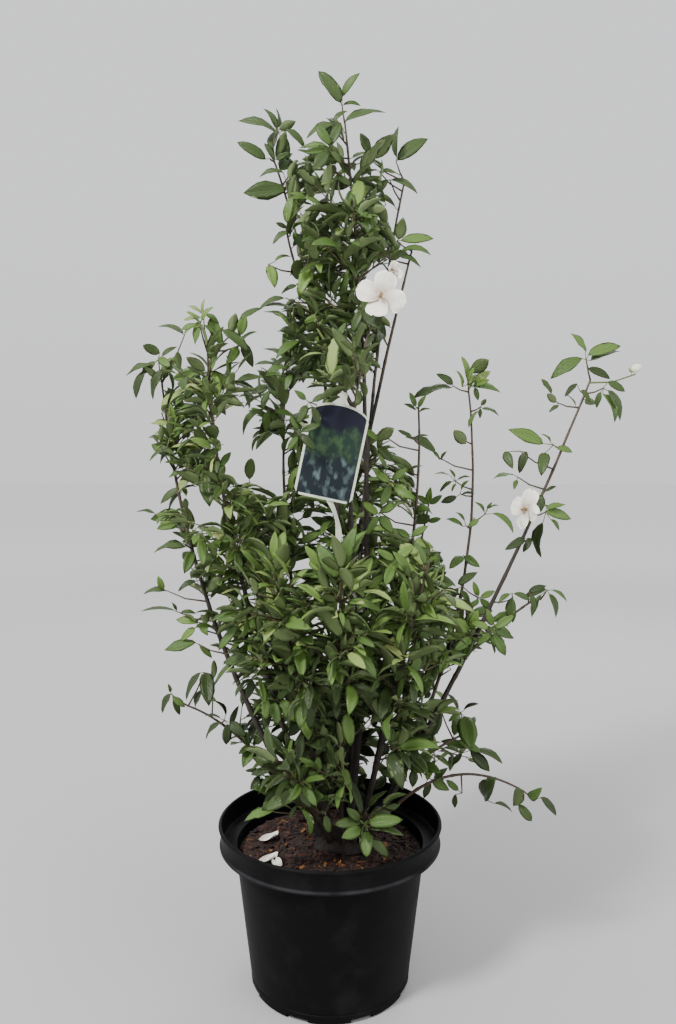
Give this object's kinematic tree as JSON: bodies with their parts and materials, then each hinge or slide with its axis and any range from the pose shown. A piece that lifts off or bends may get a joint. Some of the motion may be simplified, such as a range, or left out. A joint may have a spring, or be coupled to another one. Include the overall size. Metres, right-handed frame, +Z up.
{
  "type": "mock orange shrub in nursery pot",
  "caption": "Young upright mock orange shrub with opposite pointed leaves and white blossoms on slender canes, in a round black nursery pot.",
  "frame": {"origin": "centre of the pot's flat underside", "axes": "+Z up along the plant, +X to the right and +Y away from the picture's viewer"},
  "size_m": [0.5835, 0.3177, 0.9872],
  "materials": {
    "pot_plastic": "moulded black polypropylene with a slight sheen",
    "mulch": "loose reddish-brown bark mulch on potting mix",
    "bark": "thin brown bark, smooth and reddish on young wood",
    "foliage": "soft green leaves with sunk veins",
    "young_foliage": "yellow-green new leaves",
    "blossom": "white petals with yellow stamens",
    "label_card": "printed plastic card, satin"
  },
  "bodies": {
    "root": {"back_centre_bough": "bark", "back_centre_leaves": "foliage", "back_left_bough": "bark", "back_left_leaves": "foliage", "back_right_bough": "bark", "back_right_leaves": "foliage", "centre_right_bough": "bark", "centre_right_leaves": "foliage", "front_centre_bough": "bark", "front_centre_leaves": "foliage", "front_left_bough": "bark", "front_left_leaves": "foliage", "front_right_bough": "bark", "front_right_leaves": "foliage", "leader_bough": "bark", "leader_front_bough": "bark", "leader_front_leaves": "foliage", "leader_leaves": "foliage", "leader_left_bough": "bark", "leader_left_leaves": "foliage", "leader_low_left_bough": "bark", "leader_low_left_leaves": "foliage", "leader_low_right_bough": "bark", "leader_low_right_leaves": "foliage", "leader_right_bough": "bark", "leader_right_leaves": "foliage", "left_inner_bough": "bark", "left_inner_leaves": "foliage", "left_mid_bough": "bark", "left_mid_leaves": "foliage", "left_outer_bough": "bark", "left_outer_leaves": "foliage", "low_back_bough": "bark", "low_back_leaves": "foliage", "low_front_bough": "bark", "low_front_leaves": "foliage", "low_left_bough": "bark", "low_left_leaves": "foliage", "low_right_bough": "bark", "low_right_leaves": "foliage", "mid_left_bough": "bark", "mid_left_leaves": "foliage", "mid_right_bough": "bark", "mid_right_leaves": "foliage", "nursery_pot": "pot_plastic", "plant_label": "label_card", "right_low_bough": "bark", "right_low_leaves": "foliage", "right_outer_bough": "bark", "right_outer_leaves": "foliage", "right_side_bough": "bark", "right_side_leaves": "foliage", "right_thin_bough": "bark", "right_thin_leaves": "foliage", "rim_shoot_bough": "bark", "rim_shoot_leaves": "foliage", "root_crown": "bark", "soil": "mulch"}
  },
  "joints": []
}
